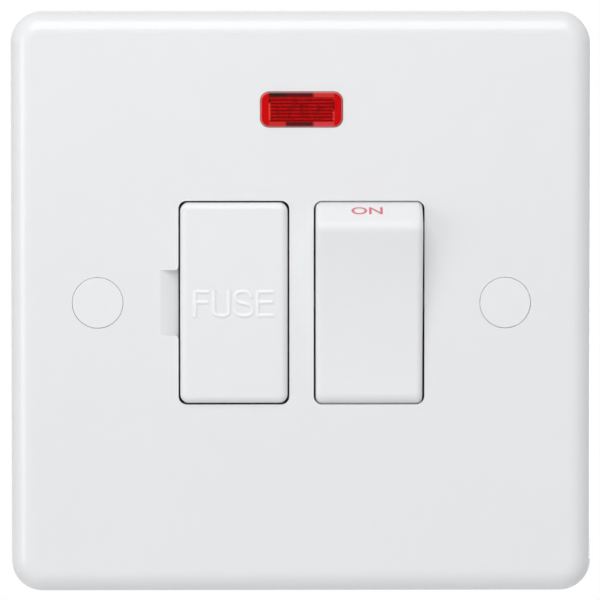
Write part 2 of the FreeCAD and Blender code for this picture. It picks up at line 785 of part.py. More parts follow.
def fuse_carrier():
    half_u = open_wide / 2 - carrier_gap
    half_v = open_tall / 2 - carrier_gap
    top = plate_thick + carrier_proud
    shell = rounded(-bay_u - half_u, -bay_u + half_u, -half_v, half_v, carrier_low, top, carrier_corner_r)
    shell = shell.makeFillet(carrier_edge_r, edges_at(shell, top))
    inner_u = half_u - carrier_wall
    inner_v = half_v - carrier_wall
    ceiling = top - carrier_front
    shell = shell.cut(box(-bay_u - inner_u, -bay_u + inner_u, -inner_v, inner_v, carrier_low - 1, ceiling))
    u0 = -bay_u - saddle_half_u
    u1 = -bay_u + saddle_half_u
    saddle = box(u0, u1, -saddle_half_v, saddle_half_v, saddle_low, ceiling + 0.2)
    carrier = shell.multiFuse([saddle] + carrier_legs())
    end_v = saddle_half_v + 0.1
    channel = rod(fuse_tube_r + pin_gap, (-bay_u, -end_v, fuse_w), (-bay_u, end_v, fuse_w))
    room = rod(fuse_r + pin_gap, (-bay_u, -end_wall_in, fuse_w), (-bay_u, end_wall_in, fuse_w))
    reach = fuse_r + 1
    u0 = -bay_u - reach
    u1 = -bay_u + reach
    room = room.cut(box(u0, u1, -saddle_half_v, saddle_half_v, fuse_w - reach, fuse_w + reach))
    return carrier.cut(channel).cut(room).removeSplitter()


def screw_cap(side):
    u = side * fixing_u
    top = plate_thick - cap_recess
    disc = rod(cap_r, (u, 0, top - cap_thick), (u, 0, top))
    disc = disc.makeFillet(0.12, edges_at(disc, top))
    stub_r = fixing_head_r - pin_gap
    stub = rod(stub_r, (u, 0, cap_stub_low_w), (u, 0, top - cap_thick))
    stub = stub.makeChamfer(0.3, edges_at(stub, cap_stub_low_w))
    stub = stub.cut(rod(stub_r - cap_stub_wall, (u, 0, cap_stub_low_w - 1), (u, 0, top - cap_thick)))
    for angle in (0, 60, 120):
        slot = box(u - 5, u + 5, -0.35, 0.35, cap_stub_low_w - 1, top - cap_thick)
        slot.rotate(V(u, 0, 0), W_AXIS, angle)
        stub = stub.cut(slot)
    return disc.fuse(stub).removeSplitter()


# Neon lens: a flanged cap, ribbed on its inner side
def neon_lens():
    half_u = lens_wide / 2
    half_v = lens_tall / 2
    top = plate_thick + lens_proud
    low = under_w - lens_flange_thick
    body = rounded(-half_u, half_u, lens_v - half_v, lens_v + half_v, low, top, lens_corner_r)
    body = body.makeFillet(0.35, edges_at(body, top))
    wide_u = half_u + lens_flange
    wide_v = half_v + lens_flange
    flange_r = lens_corner_r + lens_flange
    flange = rounded(-wide_u, wide_u, lens_v - wide_v, lens_v + wide_v, low, under_w - seat_gap, flange_r)
    lens = body.fuse(flange)
    ceiling = top - lens_wall
    inner_u = half_u - 1.35
    inner_v = half_v - 0.6
    hollow = rounded(-inner_u, inner_u, lens_v - inner_v, lens_v + inner_v, low - 1, ceiling, 0.4)
    pitch = 2 * inner_v / lens_ribs
    for i in range(lens_ribs):
        v0 = lens_v - inner_v + (i + 0.5) * pitch
        foot = pitch * 0.42
        ridge = [(v0 - foot, ceiling + 0.05), (v0, ceiling - lens_rib_high), (v0 + foot, ceiling + 0.05)]
        hollow = hollow.cut(side_profile(ridge, -inner_u - 0.1, inner_u + 0.1))
    return lens.cut(hollow).removeSplitter()


def neon_glass():
    def envelope(r, end):
        tube = rod(r, (-end + r, lens_v, lamp_w), (lamp_half - 1.2, lens_v, lamp_w))
        dome = Part.makeSphere(r, V(-end + r, lens_v, lamp_w))
        return tube.fuse(dome)

    outer = envelope(lamp_r, lamp_half)
    pip = Part.makeCone(0.5, 0.15, 0.9, V(-lamp_half + 0.15, lens_v, lamp_w), V(-1, 0, 0))
    pinch = box(lamp_half - 1.7, lamp_half, lens_v - 1.5, lens_v + 1.5, lamp_w - 0.6, lamp_w + 0.6)
    reach = lamp_r + 1
    chamber_end = lamp_half - 1.9
    chamber = box(-lamp_half, chamber_end, lens_v - reach, lens_v + reach, lamp_w - reach, lamp_w + reach)
    inner = envelope(lamp_r - lamp_wall, lamp_half - lamp_wall).common(chamber)
    glass = outer.fuse(pip).cut(inner).fuse(pinch)
    for dv in (-electrode_half_pitch, electrode_half_pitch):
        wire = rod(electrode_r, (lamp_half - 3, lens_v + dv, lamp_w), (lamp_half + 1, lens_v + dv, lamp_w))
        glass = glass.cut(wire)
    return glass.removeSplitter()


def neon_electrodes():
    inner_u = 2.4 - lamp_half
    pair = []
    for v in (lens_v - electrode_half_pitch, lens_v + electrode_half_pitch):
        pair.append(rod(electrode_r, (inner_u, v, lamp_w), (lead_start, v, lamp_w)))
    return Part.makeCompound(pair)


def wire_run(points):
    run = rod(lead_r, points[0], points[1])
    for a, b in zip(points[1:-1], points[2:]):
        run = run.fuse(Part.makeSphere(lead_r, V(*a))).fuse(rod(lead_r, a, b))
    return run.removeSplitter()


# Leads: from one electrode to the fuse clip's strap, from the other through the resistor to a terminal
def neon_leads():
    low_v = lens_v - lamp_r - 0.9
    low_w = lamp_w - 0.4
    upper_v = lens_v + electrode_half_pitch
    lower_v = lens_v - electrode_half_pitch
    strap_u = 1.0 - bay_u
    strap_v = block_near + 5.2
    turn_u = 0.6 - neon_half_u
    end_u = load_neutral_u - 1.8
    line = wire_run(
        [
            (lead_start, lower_v, lamp_w), (lead_bend, lower_v, lamp_w), (lead_bend, low_v, low_w),
            (turn_u, low_v, low_w), (strap_u, strap_v, low_w), (strap_u, strap_v, clip_base_top + lead_r),
        ]
    )
    first = wire_run(
        [
            (lead_start, upper_v, lamp_w), (resistor_u, upper_v, lamp_w),
            (resistor_u, lens_v, resistor_w), (resistor_u, resistor_v + resistor_long, resistor_w),
        ]
    )
    second = wire_run(
        [
            (resistor_u, resistor_v, resistor_w), (resistor_u, lead_end_v, resistor_w),
            (end_u, lead_end_v, resistor_w), (end_u, lead_end_v, base_w + 0.02),
        ]
    )
    return Part.makeCompound([line, first, second])


def neon_resistor():
    end_v = resistor_v + resistor_long
    body = rod(resistor_r, (resistor_u, resistor_v, resistor_w), (resistor_u, end_v, resistor_w))
    ends = []
    for edge in body.Edges:
        if edge.BoundBox.YLength < 0.001:
            ends.append(edge)
    return body.makeFillet(0.4, ends)


os.makedirs("parts", exist_ok=True)
export(front_plate(), "front_plate")
export(rear_housing(), "rear_housing")
export(housing_screws(), "housing_screws")
export(switch_rocker(), "switch_rocker")
export(plunger(pole_line), "plunger_line")
export(plunger(pole_neutral), "plunger_neutral")
export(plunger_spring(pole_line), "spring_line")
export(plunger_spring(pole_neutral), "spring_neutral")
export(moving_contact(pole_line), "moving_contact_line")
export(moving_contact(pole_neutral), "moving_contact_neutral")
export(moving_tip(pole_line), "moving_tip_line")
export(moving_tip(pole_neutral), "moving_tip_neutral")
export(fixed_tips(), "fixed_tips")
export(fulcrum(pole_line), "fulcrum_line")
export(fulcrum(pole_neutral), "fulcrum_neutral")
export(fixed_contact_neutral(), "fixed_contact_neutral")
export(line_link(), "line_link")
export(fuse_clip_upper(), "fuse_clip_upper")
export(fuse_clip_lower(), "fuse_clip_lower")
export(terminal_block(load_line_u, 1, block_wide, [load_line_u]), "terminal_load_line")
export(terminal_block(load_neutral_u, 1, block_wide, [load_neutral_u]), "terminal_load_neutral")
export(terminal_block(supply_line_u, -1, block_wide, [supply_line_u]), "terminal_supply_line")
export(terminal_block(supply_neutral_u, -1, block_wide, [supply_neutral_u]), "terminal_supply_neutral")
earth_wires = [earth_u - earth_pitch / 2, earth_u + earth_pitch / 2]
export(terminal_block(earth_u, -1, earth_wide, earth_wires), "terminal_earth")
export(terminal_screws(), "terminal_screws")
export(cartridge_tube(), "fuse_tube")
export(fuse_caps(), "fuse_end_caps")
export(fuse_carrier(), "fuse_carrier")
export(screw_cap(-1), "screw_cap_left")
export(screw_cap(1), "screw_cap_right")
export(neon_lens(), "neon_lens")
export(neon_glass(), "neon_glass")
export(neon_electrodes(), "neon_electrodes")
export(neon_leads(), "neon_leads")
export(neon_resistor(), "neon_resistor")
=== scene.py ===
import bpy, bmesh, json
from math import radians, sin, cos, pi, hypot
from mathutils import Matrix, Vector


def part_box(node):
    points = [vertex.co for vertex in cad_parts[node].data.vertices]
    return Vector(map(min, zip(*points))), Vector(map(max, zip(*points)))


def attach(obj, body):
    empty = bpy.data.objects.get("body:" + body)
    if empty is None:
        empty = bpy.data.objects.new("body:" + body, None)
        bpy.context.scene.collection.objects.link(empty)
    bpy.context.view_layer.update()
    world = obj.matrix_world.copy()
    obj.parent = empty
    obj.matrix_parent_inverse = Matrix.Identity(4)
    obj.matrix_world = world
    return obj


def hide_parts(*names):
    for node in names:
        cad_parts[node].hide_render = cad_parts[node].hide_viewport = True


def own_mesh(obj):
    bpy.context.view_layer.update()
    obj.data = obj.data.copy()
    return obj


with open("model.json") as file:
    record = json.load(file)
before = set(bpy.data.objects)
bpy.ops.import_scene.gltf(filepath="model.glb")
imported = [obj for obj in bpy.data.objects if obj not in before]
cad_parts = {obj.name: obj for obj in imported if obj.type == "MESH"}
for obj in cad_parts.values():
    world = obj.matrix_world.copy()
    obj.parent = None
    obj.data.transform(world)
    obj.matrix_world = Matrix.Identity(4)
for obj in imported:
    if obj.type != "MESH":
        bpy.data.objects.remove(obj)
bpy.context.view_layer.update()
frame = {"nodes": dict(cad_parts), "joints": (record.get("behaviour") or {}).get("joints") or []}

nodes = frame["nodes"]
scene = bpy.context.scene
scene.view_settings.view_transform = "Standard"

# Camera: a long lens about a metre away, a little above the plate's middle and a
# little to its left, framed so that the square plate fills the picture.
camera_data = bpy.data.cameras.new("camera")
camera_far, seen_wide = 1.0, 0.08962
camera_data.sensor_width = 36.0
camera_data.lens = camera_data.sensor_width * camera_far / seen_wide
camera_data.clip_start = 0.01
camera_data.clip_end = 50.0
camera = bpy.data.objects.new("camera", camera_data)
aim = Vector((-0.00009, 0.0, -0.00019))
az, el = radians(-0.8), radians(3.6)
camera.location = aim + camera_far * Vector((sin(az) * cos(el), -cos(az) * cos(el), sin(el)))
camera.rotation_euler = (aim - camera.location).to_track_quat("-Z", "Y").to_euler()
scene.collection.objects.link(camera)
scene.camera = camera


# Studio: a pale floor below and a white surround. A large soft lamp hangs in front of
# and above the object, a smaller one stands to its left and one behind, and the
# surround fills in.
def soft_lamp(name, place, wide, tall, watts, target=(0, 0, 0)):
    data = bpy.data.lights.new(name, "AREA")
    data.shape = "RECTANGLE"
    data.size = wide
    data.size_y = tall
    data.energy = watts
    lamp = bpy.data.objects.new(name, data)
    lamp.location = place
    lamp.rotation_euler = (Vector(target) - Vector(place)).to_track_quat("-Z", "Y").to_euler()
    scene.collection.objects.link(lamp)
    return lamp


soft_lamp("left_lamp", (-0.735, -0.555, 0.05), 0.42, 0.42, 1.26)
soft_lamp("top_lamp", (-0.05, -0.42, 0.43), 0.5, 0.5, 2.1)
soft_lamp("back_lamp", (0.45, 0.80, 0.12), 0.5, 0.5, 2.2)

world = bpy.data.worlds.new("studio")
scene.world = world
world.use_nodes = True
wn, wl = world.node_tree.nodes, world.node_tree.links
wn.clear()


def background_rays(n, l):
    rays = n.new("ShaderNodeLightPath")
    value = rays.outputs["Is Camera Ray"]
    for kind in ("Is Glossy Ray", "Is Transmission Ray"):
        more = n.new("ShaderNodeMath")
        more.operation = "MAXIMUM"
        l.new(value, more.inputs[0])
        l.new(rays.outputs[kind], more.inputs[1])
        value = more.outputs[0]
    return value


fill = wn.new("ShaderNodeBackground")
fill.inputs["Color"].default_value = (0.985, 0.992, 1.0, 1)
fill.inputs["Strength"].default_value = 0.408
seen = wn.new("ShaderNodeBackground")
seen.inputs["Color"].default_value = (1, 1, 1, 1)
seen.inputs["Strength"].default_value = 1.0
blend = wn.new("ShaderNodeMixShader")
out = wn.new("ShaderNodeOutputWorld")
wl.new(background_rays(wn, wl), blend.inputs["Fac"])
wl.new(fill.outputs[0], blend.inputs[1])
wl.new(seen.outputs[0], blend.inputs[2])
wl.new(blend.outputs[0], out.inputs["Surface"])

floor_mesh = bpy.data.meshes.new("floor")
bm = bmesh.new()
bmesh.ops.create_grid(bm, x_segments=8, y_segments=8, size=3.0)
bmesh.ops.translate(bm, verts=bm.verts, vec=(0, 0, -0.16))
bm.to_mesh(floor_mesh)
bm.free()
floor = bpy.data.objects.new("floor", floor_mesh)
scene.collection.objects.link(floor)
floor_mat = bpy.data.materials.new("studio_floor")
floor_mat.use_nodes = True
fn, fl = floor_mat.node_tree.nodes, floor_mat.node_tree.links
floor_shader = fn["Principled BSDF"]
floor_shader.inputs["Base Color"].default_value = (0.9, 0.9, 0.9, 1)
floor_shader.inputs["Roughness"].default_value = 0.7
glow = fn.new("ShaderNodeEmission")
glow.inputs["Strength"].default_value = 1.0
floor_place = fn.new("ShaderNodeTexCoord")
floor_reach = fn.new("ShaderNodeVectorMath")
floor_reach.operation = "LENGTH"
floor_far = fn.new("ShaderNodeMapRange")
floor_far.interpolation_type = "SMOOTHSTEP"
floor_far.inputs["From Min"].default_value = 0.15
floor_far.inputs["From Max"].default_value = 0.9
floor_fade = fn.new("ShaderNodeMath")
floor_fade.operation = "MULTIPLY"
floor_mix = fn.new("ShaderNodeMixShader")
fl.new(floor_place.outputs["Object"], floor_reach.inputs[0])
fl.new(floor_reach.outputs["Value"], floor_far.inputs["Value"])
fl.new(floor_far.outputs["Result"], floor_fade.inputs[0])
fl.new(background_rays(fn, fl), floor_fade.inputs[1])
fl.new(floor_fade.outputs[0], floor_mix.inputs["Fac"])
fl.new(floor_shader.outputs[0], floor_mix.inputs[1])
fl.new(glow.outputs[0], floor_mix.inputs[2])
fl.new(floor_mix.outputs[0], fn["Material Output"].inputs["Surface"])
floor_mesh.materials.append(floor_mat)


# Front plate: one compression moulding in white urea, polished on its face. The
# skin is nearly even: a faint mottle, a soft orange peel and small changes of gloss.
def group_socket(tree, name, kind, way, value=None):
    socket = tree.interface.new_socket(name=name, in_out=way, socket_type=kind)
    if value is not None:
        socket.default_value = value
    return socket


def moulded_skin_group():
    tree = bpy.data.node_groups.new("moulded_skin", "ShaderNodeTree")
    for name, kind, value in (
        ("Colour", "NodeSocketColor", (0.8, 0.8, 0.8, 1)),
        ("Flow Colour", "NodeSocketColor", (0.7, 0.7, 0.7, 1)),
        ("Flow Size", "NodeSocketFloat", 60.0),
        ("Peel Size", "NodeSocketFloat", 900.0),
        ("Peel Depth", "NodeSocketFloat", 0.02),
        ("Gloss Low", "NodeSocketFloat", 0.2),
        ("Gloss High", "NodeSocketFloat", 0.3),
    ):
        group_socket(tree, name, kind, "INPUT", value)
    group_socket(tree, "Colour", "NodeSocketColor", "OUTPUT")
    group_socket(tree, "Roughness", "NodeSocketFloat", "OUTPUT")
    group_socket(tree, "Normal", "NodeSocketVector", "OUTPUT")
    n, l = tree.nodes, tree.links
    gin, gout = n.new("NodeGroupInput"), n.new("NodeGroupOutput")
    place = n.new("ShaderNodeTexCoord")
    flow = n.new("ShaderNodeTexNoise")
    flow.inputs["Detail"].default_value = 5.0
    flow.inputs["Distortion"].default_value = 0.6
    peel = n.new("ShaderNodeTexNoise")
    peel.inputs["Detail"].default_value = 2.0
    tint = n.new("ShaderNodeMix")
    tint.data_type = "RGBA"
    gloss = n.new("ShaderNodeMapRange")
    bump = n.new("ShaderNodeBump")
    bump.inputs["Distance"].default_value = 0.0002
    l.new(place.outputs["Object"], flow.inputs["Vector"])
    l.new(place.outputs["Object"], peel.inputs["Vector"])
    l.new(gin.outputs["Flow Size"], flow.inputs["Scale"])
    l.new(gin.outputs["Peel Size"], peel.inputs["Scale"])
    l.new(flow.outputs["Fac"], tint.inputs["Factor"])
    l.new(gin.outputs["Colour"], tint.inputs["A"])
    l.new(gin.outputs["Flow Colour"], tint.inputs["B"])
    l.new(flow.outputs["Fac"], gloss.inputs["Value"])
    l.new(gin.outputs["Gloss Low"], gloss.inputs["To Min"])
    l.new(gin.outputs["Gloss High"], gloss.inputs["To Max"])
    l.new(peel.outputs["Fac"], bump.inputs["Height"])
    l.new(gin.outputs["Peel Depth"], bump.inputs["Strength"])
    l.new(tint.outputs["Result"], gout.inputs["Colour"])
    l.new(gloss.outputs["Result"], gout.inputs["Roughness"])
    l.new(bump.outputs["Normal"], gout.inputs["Normal"])
    return tree


moulded_skin = moulded_skin_group()


def moulded(name, colour, flow_colour, low, high,
            peel_size=900.0, peel_depth=0.02, flow_size=60.0, ior=1.5):
    mat = bpy.data.materials.new(name)
    mat.use_nodes = True
    n, l = mat.node_tree.nodes, mat.node_tree.links
    shader = n["Principled BSDF"]
    skin = n.new("ShaderNodeGroup")
    skin.node_tree = moulded_skin
    skin.inputs["Colour"].default_value = (*colour, 1)
    skin.inputs["Flow Colour"].default_value = (*flow_colour, 1)
    skin.inputs["Flow Size"].default_value = flow_size
    skin.inputs["Peel Size"].default_value = peel_size
    skin.inputs["Peel Depth"].default_value = peel_depth
    skin.inputs["Gloss Low"].default_value = low
    skin.inputs["Gloss High"].default_value = high
    l.new(skin.outputs["Colour"], shader.inputs["Base Color"])
    l.new(skin.outputs["Roughness"], shader.inputs["Roughness"])
    l.new(skin.outputs["Normal"], shader.inputs["Normal"])
    shader.inputs["IOR"].default_value = ior
    return mat


def dress(name, mat):
    mesh = nodes[name].data
    mesh.materials.clear()
    mesh.materials.append(mat)


plate_white = moulded("plate_white", (0.842, 0.845, 0.852), (0.825, 0.829, 0.838), 0.15, 0.21)
dress("front_plate", plate_white)

# Fuse carrier: a drawer in the same white urea, a touch less polished. Its word is
# raised from the face in rounded strokes, because the mould is engraved. The strokes
# run between points that are in millimetres from the plate's centre.
carrier_white = moulded("carrier_white", (0.848, 0.851, 0.857), (0.83, 0.834, 0.842), 0.34, 0.42)
dress("fuse_carrier", carrier_white)


def applied(shape):
    scene.collection.objects.link(shape)
    bpy.context.view_layer.update()
    mesh = bpy.data.meshes.new_from_object(shape.evaluated_get(bpy.context.evaluated_depsgraph_get()))
    bpy.data.objects.remove(shape)
    return mesh


def fitted(name, mesh, mat, body):
    mesh.materials.append(mat)
    piece = bpy.data.objects.new(name, mesh)
    scene.collection.objects.link(piece)
    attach(piece, body)
    return piece


def raised_strokes(name, strokes, half_wide):
    curve = bpy.data.curves.new(name, "CURVE")
    curve.dimensions = "3D"
    curve.resolution_u = 10
    curve.bevel_depth = half_wide
    curve.bevel_resolution = 4
    curve.use_fill_caps = True
    for kind, points in strokes:
        line = curve.splines.new(kind)
        line.points.add(len(points) - 1)
        for spot, (x, y) in zip(line.points, points):
            spot.co = (x / 1000, y / 1000, 0, 1)
        if kind == "NURBS":
            line.order_u = 3
            line.use_endpoint_u = True
    return applied(bpy.data.objects.new(name, curve))


word_top, word_low, word_mid = 1.68, -1.80, 0.14
word_strokes = [
    ("POLY", [(-15.74, -2.05), (-15.74, 1.95)]),
    ("POLY", [(-15.74, word_top), (-13.65, word_top)]),
    ("POLY", [(-15.74, word_mid), (-13.8, word_mid)]),
    ("NURBS", [(-12.95, 1.95), (-12.95, -0.6), (-12.95, -1.86), (-10.72, -1.86),
               (-10.72, -0.6), (-10.72, 1.95)]),
    ("NURBS", [(-7.44, 0.85), (-7.5, 1.70), (-9.75, 1.76), (-9.75, 0.25), (-8.6, -0.02),
               (-7.25, -0.35), (-7.25, -1.86), (-9.8, -1.86), (-9.86, -0.8)]),
    ("POLY", [(-6.5, -2.05), (-6.5, 1.95)]),
    ("POLY", [(-6.5, word_top), (-4.05, word_top)]),
    ("POLY", [(-6.5, word_mid), (-4.25, word_mid)]),
    ("POLY", [(-6.5, word_low), (-4.0, word_low)]),
]
carrier_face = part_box("fuse_carrier")[0].y
word_mesh = raised_strokes("fuse_word", word_strokes, 0.0003)
bm = bmesh.new()
bm.from_mesh(word_mesh)
bmesh.ops.remove_doubles(bm, verts=bm.verts, dist=1e-7)
bmesh.ops.recalc_face_normals(bm, faces=bm.faces)
bm.to_mesh(word_mesh)
bm.free()
word_mesh.transform(Matrix.Diagonal((1, 1, 0.58, 1)))
word_mesh.transform(Matrix.Rotation(radians(90), 4, "X"))
word_mesh.transform(Matrix.Translation((0, carrier_face, 0)))
for polygon in word_mesh.polygons:
    polygon.use_smooth = True
word_mesh.set_sharp_from_angle(angle=radians(50))
# The word is a lighter white than the carrier: a painted highlight on the raised strokes.
word_highlight_white = moulded("word_highlight_white", (0.90, 0.903, 0.91), (0.885, 0.89, 0.898), 0.32, 0.40)
fitted("fuse_word", word_mesh, word_highlight_white, "carrier")

# Switch rocker: white urea with a satin face. The word on its top end is printed in
# red ink, laid round the arc of that end.
rocker_white = moulded("rocker_white", (0.848, 0.851, 0.857), (0.83, 0.834, 0.842), 0.5, 0.58)
dress("switch_rocker", rocker_white)
axis_y, end_r, ink_lift = -0.003, 0.0161396, 0.00001
print_mid_x, print_lean = 0.00965, radians(31.7)
print_wide, print_tall = 0.00464, 0.00184
print_text = bpy.data.curves.new("on_print", "FONT")
print_text.body = "ON"
print_text.align_x = "CENTER"
print_text.align_y = "CENTER"
print_text.resolution_u = 6
print_text.offset = 0.016
print_mesh = applied(bpy.data.objects.new("on_print", print_text))
text_x = [v.co.x for v in print_mesh.vertices]
text_y = [v.co.y for v in print_mesh.vertices]
text_wide, text_tall = max(text_x) - min(text_x), max(text_y) - min(text_y)
print_mesh.transform(Matrix.Translation((text_wide / 2 - max(text_x), text_tall / 2 - max(text_y), 0)))
print_mesh.transform(Matrix.Diagonal((print_wide / text_wide, print_tall / text_tall, 1, 1)))
bm = bmesh.new()
bm.from_mesh(print_mesh)
bmesh.ops.triangulate(bm, faces=bm.faces)
bmesh.ops.subdivide_edges(bm, edges=[e for e in bm.edges if e.calc_length() > 0.0004], cuts=2)
for v in bm.verts:
    turn = print_lean - v.co.y / end_r
    r = end_r + ink_lift
    v.co = Vector((print_mid_x + v.co.x, axis_y - r * sin(turn), r * cos(turn)))
bmesh.ops.recalc_face_normals(bm, faces=bm.faces)
bm.to_mesh(print_mesh)
bm.free()
red_ink = moulded("red_ink", (0.60, 0.12, 0.17), (0.72, 0.24, 0.29), 0.4, 0.55,
                  peel_size=4000.0, peel_depth=0.05, flow_size=2500.0)
fitted("on_print", print_mesh, red_ink, "rocker")

# Screw caps: two discs of the same white moulding, one over each fixing screw. Split
# legs hold each cap in its recess.
cap_white = moulded("cap_white", (0.853, 0.857, 0.864), (0.835, 0.84, 0.848), 0.26, 0.34)
dress("screw_cap_left", cap_white)
dress("screw_cap_right", cap_white)

# Neon lens: a red polycarbonate cap, smooth outside and ribbed inside. Its colour carries painted
# light and shade: bright and dark stripes for the ribs in the middle, plain red at the clear ends,
# painted shade of the lamp's dark bay with painted bright patches beside it, and a painted highlight
# round the rim.
lens_red = bpy.data.materials.new("lens_red")
lens_red.use_nodes = True
n, l = lens_red.node_tree.nodes, lens_red.node_tree.links
lens_shader = n["Principled BSDF"]
lens_shader.inputs["Transmission Weight"].default_value = 0.12
lens_shader.inputs["IOR"].default_value = 1.49
lens_shader.inputs["Specular IOR Level"].default_value = 0.01


def math_node(kind, a, b=None):
    node = n.new("ShaderNodeMath")
    node.operation = kind
    for socket, value in zip(node.inputs, (a, b)):
        if hasattr(value, "is_output"):
            l.new(value, socket)
        elif value is not None:
            socket.default_value = value
    return node.outputs[0]


def fade(value, start, end):
    node = n.new("ShaderNodeMapRange")
    node.interpolation_type = "SMOOTHSTEP"
    node.inputs["From Min"].default_value = start
    node.inputs["From Max"].default_value = end
    l.new(value, node.inputs["Value"])
    return node.outputs["Result"]


def blend_colour(mask, a, b):
    node = n.new("ShaderNodeMix")
    node.data_type = "RGBA"
    l.new(mask, node.inputs["Factor"])
    for key, value in (("A", a), ("B", b)):
        if hasattr(value, "is_output"):
            l.new(value, node.inputs[key])
        else:
            node.inputs[key].default_value = (*value, 1)
    return node.outputs["Result"]


lens_low, lens_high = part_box("neon_lens")
lens_half_u, lens_half_v, lens_corner = 0.0061, 0.002625, 0.0014
core_u, core_v, rib_pitch = 0.0047, 0.0018, 0.000506
line_u, bay_left, bay_right = 0.00474, -0.00235, 0.00175
lens_mid = (lens_low.z + lens_high.z) / 2
lens_place = n.new("ShaderNodeTexCoord")
lens_axes = n.new("ShaderNodeSeparateXYZ")
l.new(lens_place.outputs["Object"], lens_axes.inputs[0])
across = lens_axes.outputs["X"]
rise = math_node("SUBTRACT", lens_axes.outputs["Z"], lens_mid)
off_u = math_node("ABSOLUTE", across)
off_v = math_node("ABSOLUTE", rise)
lens_noise = n.new("ShaderNodeTexNoise")
lens_noise.inputs["Scale"].default_value = 1600.0
l.new(lens_place.outputs["Object"], lens_noise.inputs["Vector"])
# The ribbed middle is painted in dark and bright stripes of red: painted shade and painted light of the
# ribs.
rib_wave = math_node("SINE", math_node("MULTIPLY", rise, 2 * pi / rib_pitch))
rib_shade_mask = math_node("MULTIPLY", fade(rib_wave, -0.8, 0.8), fade(lens_noise.outputs["Fac"], 0.2, 0.6))
core_ends = fade(off_u, core_u + 0.0002, core_u - 0.0002)
core_mask = math_node("MULTIPLY", core_ends, fade(off_v, core_v + 0.0001, core_v - 0.0001))
# The bands along the top and bottom edges are painted: painted shade of the lamp's dark bay in the
# middle, painted bright patches beside it.
edge_ends = fade(off_u, core_u + 0.00025, core_u)
edge_mask = math_node("MULTIPLY", fade(off_v, core_v - 0.0001, core_v + 0.00015), edge_ends)
# Two upright lines near the ends carry painted light and painted shade, broken by noise on the right.
off_line = math_node("ABSOLUTE", math_node("SUBTRACT", off_u, line_u))
line_mask = math_node("MULTIPLY", fade(off_line, 0.00022, 0.00006), fade(off_v, core_v, core_v - 0.0004))
# A painted pink highlight runs round the rounded rim of the lens.
corner_u = math_node("MAXIMUM", math_node("SUBTRACT", off_u, lens_half_u - lens_corner), 0.0)
corner_v = math_node("MAXIMUM", math_node("SUBTRACT", off_v, lens_half_v - lens_corner), 0.0)
corner_square = math_node("ADD", math_node("POWER", corner_u, 2.0), math_node("POWER", corner_v, 2.0))
rim_highlight_mask = math_node("MULTIPLY", fade(math_node("SQRT", corner_square), 0.00112, 0.00132), 0.6)
right_mask = fade(across, bay_right - 0.00025, bay_right + 0.00025)
left_mask = fade(across, bay_left + 0.00025, bay_left - 0.00025)
upper_mask = fade(rise, -0.0002, 0.0002)
rib_shade_and_light = blend_colour(rib_shade_mask, (0.22, 0.0003, 0.0006), (0.60, 0.002, 0.003))
# Colours of the painted shade and painted light in the edge bands.
left_band_light_shade = blend_colour(upper_mask, (0.68, 0.03, 0.02), (0.035, 0.012, 0.009))
mid_band_shade = blend_colour(upper_mask, (0.12, 0.006, 0.009), (0.11, 0.006, 0.009))
right_band_light_shade = blend_colour(upper_mask, (0.78, 0.045, 0.06), (0.64, 0.04, 0.035))
edge = blend_colour(right_mask, blend_colour(left_mask, mid_band_shade, left_band_light_shade), right_band_light_shade)
zones = blend_colour(core_mask, (0.68, 0.0006, 0.0015), rib_shade_and_light)
left_line_light_shade = blend_colour(fade(rise, 0.0008, 0.0011), (0.78, 0.045, 0.03), (0.09, 0.006, 0.006))
line_broken = fade(lens_noise.outputs["Fac"], 0.42, 0.56)
right_line_light_shade = blend_colour(line_broken, (0.22, 0.001, 0.001), (0.78, 0.05, 0.035))
zones = blend_colour(line_mask, zones, blend_colour(right_mask, left_line_light_shade, right_line_light_shade))
zones = blend_colour(edge_mask, zones, edge)
zones = blend_colour(rim_highlight_mask, zones, (0.80, 0.34, 0.34))
lens_gloss = n.new("ShaderNodeMapRange")
lens_gloss.inputs["To Min"].default_value = 0.05
lens_gloss.inputs["To Max"].default_value = 0.12
l.new(lens_noise.outputs["Fac"], lens_gloss.inputs["Value"])
l.new(zones, lens_shader.inputs["Base Color"])
l.new(lens_gloss.outputs["Result"], lens_shader.inputs["Roughness"])
dress("neon_lens", lens_red)

# Neon lamp: a sealed glass bulb on two steel leads behind the lens, and the brown
# resistor that is wired in series with it.
lamp_glass = bpy.data.materials.new("lamp_glass")
lamp_glass.use_nodes = True
gn, gl = lamp_glass.node_tree.nodes, lamp_glass.node_tree.links
glass_shader = gn["Principled BSDF"]
glass_shader.inputs["Transmission Weight"].default_value = 1.0
glass_shader.inputs["IOR"].default_value = 1.45
glass_place = gn.new("ShaderNodeTexCoord")
glass_noise = gn.new("ShaderNodeTexNoise")
glass_noise.inputs["Scale"].default_value = 400.0
glass_tint = gn.new("ShaderNodeMix")
glass_tint.data_type = "RGBA"
glass_tint.inputs["A"].default_value = (0.97, 0.96, 0.94, 1)
glass_tint.inputs["B"].default_value = (0.90, 0.88, 0.84, 1)
glass_gloss = gn.new("ShaderNodeMapRange")
glass_gloss.inputs["To Min"].default_value = 0.01
glass_gloss.inputs["To Max"].default_value = 0.06
gl.new(glass_place.outputs["Object"], glass_noise.inputs["Vector"])
gl.new(glass_noise.outputs["Fac"], glass_tint.inputs["Factor"])
gl.new(glass_noise.outputs["Fac"], glass_gloss.inputs["Value"])
gl.new(glass_tint.outputs["Result"], glass_shader.inputs["Base Color"])
gl.new(glass_gloss.outputs["Result"], glass_shader.inputs["Roughness"])
dress("neon_glass", lamp_glass)
resistor_body = moulded("resistor_body", (0.50, 0.33, 0.19), (0.42, 0.27, 0.15), 0.35, 0.5,
                        peel_size=2500.0, peel_depth=0.1, flow_size=900.0)
dress("neon_resistor", resistor_body)

# Rear housing: a deeper moulding in pale grey with a fine matt texture, held to the
# plate by four screws.
housing_grey = moulded("housing_grey", (0.62, 0.625, 0.62), (0.57, 0.575, 0.575), 0.5, 0.62,
                       peel_size=1800.0, peel_depth=0.18, flow_size=90.0)
dress("rear_housing", housing_grey)

